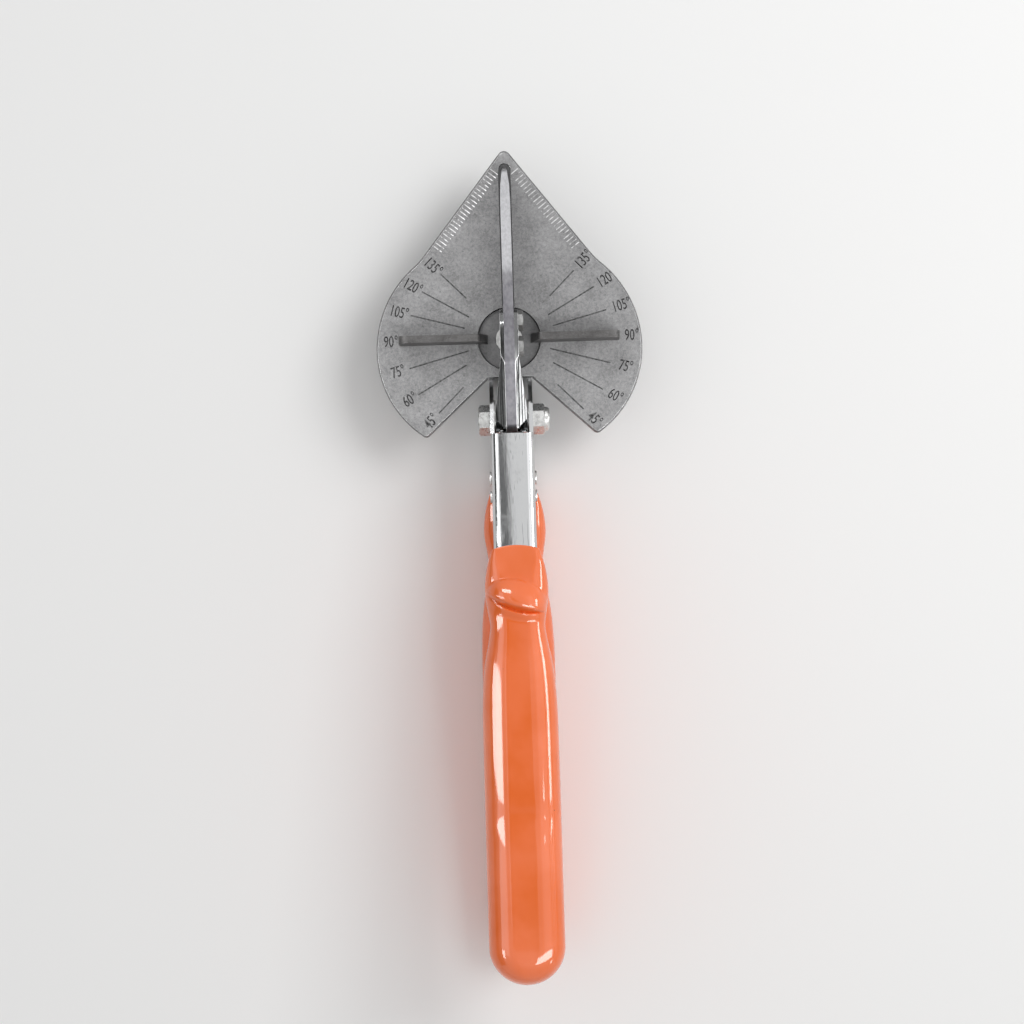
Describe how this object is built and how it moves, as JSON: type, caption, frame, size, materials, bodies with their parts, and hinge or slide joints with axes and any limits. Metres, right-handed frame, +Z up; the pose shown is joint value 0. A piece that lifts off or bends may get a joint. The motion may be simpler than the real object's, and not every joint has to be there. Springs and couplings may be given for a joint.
{
  "type": "multi-angle mitre shear",
  "caption": "Hand shear that cuts trim and trunking at a set angle: one long blade over a leaf-shaped angle plate with a swivelling fence, soft orange grips",
  "frame": {"origin": "the angular centre, on the anvil strip's top face, under the cutting edge", "axes": "+Y along the blade to the tip of the plate, +Z up from the plate to the blade, +X to the right seen from above with the tip away from the viewer"},
  "size_m": [0.0802, 0.2462, 0.0598],
  "materials": {
    "chromed_steel": "bright chromed pressed steel",
    "orange_grip": "glossy soft vinyl",
    "grey_plate": "matt grey, fine speckle",
    "grey_fence": "matt dark grey",
    "plated_steel": "bright zinc plating",
    "anvil_plastic": "matt black",
    "holder_steel": "matt grey",
    "blade_steel": "ground tool steel",
    "spring_steel": "bright drawn wire"
  },
  "bodies": {
    "plate_lever": {"upper_handle": "chromed_steel", "upper_grip": "orange_grip", "angle_plate": "grey_plate", "jaw_bar": "plated_steel", "anvil_strip": "anvil_plastic", "anvil_screws": "plated_steel", "plate_screws": "plated_steel", "jaw_rivets": "plated_steel", "fence_stud": "plated_steel", "fence_nut": "plated_steel", "fence_washer": "plated_steel", "pivot_bolt": "plated_steel", "pivot_nut": "plated_steel", "pivot_shims": "plated_steel", "latch_catch_pin": "plated_steel", "return_spring": "spring_steel"},
    "blade_lever": {"lower_handle": "chromed_steel", "lower_grip": "orange_grip", "blade_holder": "holder_steel", "blade": "blade_steel", "blade_screws": "plated_steel", "blade_nuts": "plated_steel", "latch_pivot_pin": "plated_steel"},
    "fence_arm": {"fence": "grey_fence"},
    "latch": {"latch_hook": "plated_steel"}
  },
  "joints": [
    {"name": "jaw_hinge", "type": "hinge", "parent": "plate_lever", "child": "blade_lever", "pos_m": [0, -0.0245, 0.003], "axis": [1, 0, 0], "range_deg": [0, 25], "deforming": ["return_spring"]},
    {"name": "fence_swivel", "type": "hinge", "parent": "plate_lever", "child": "fence_arm", "pos_m": [0, 0, 0], "axis": [0, 0, 1], "range_deg": [-45, 45]},
    {"name": "latch_swing", "type": "hinge", "parent": "blade_lever", "child": "latch", "pos_m": [0, -0.042, -0.0014], "axis": [-1, 0, 0], "range_deg": [0, 36.8]}
  ]
}
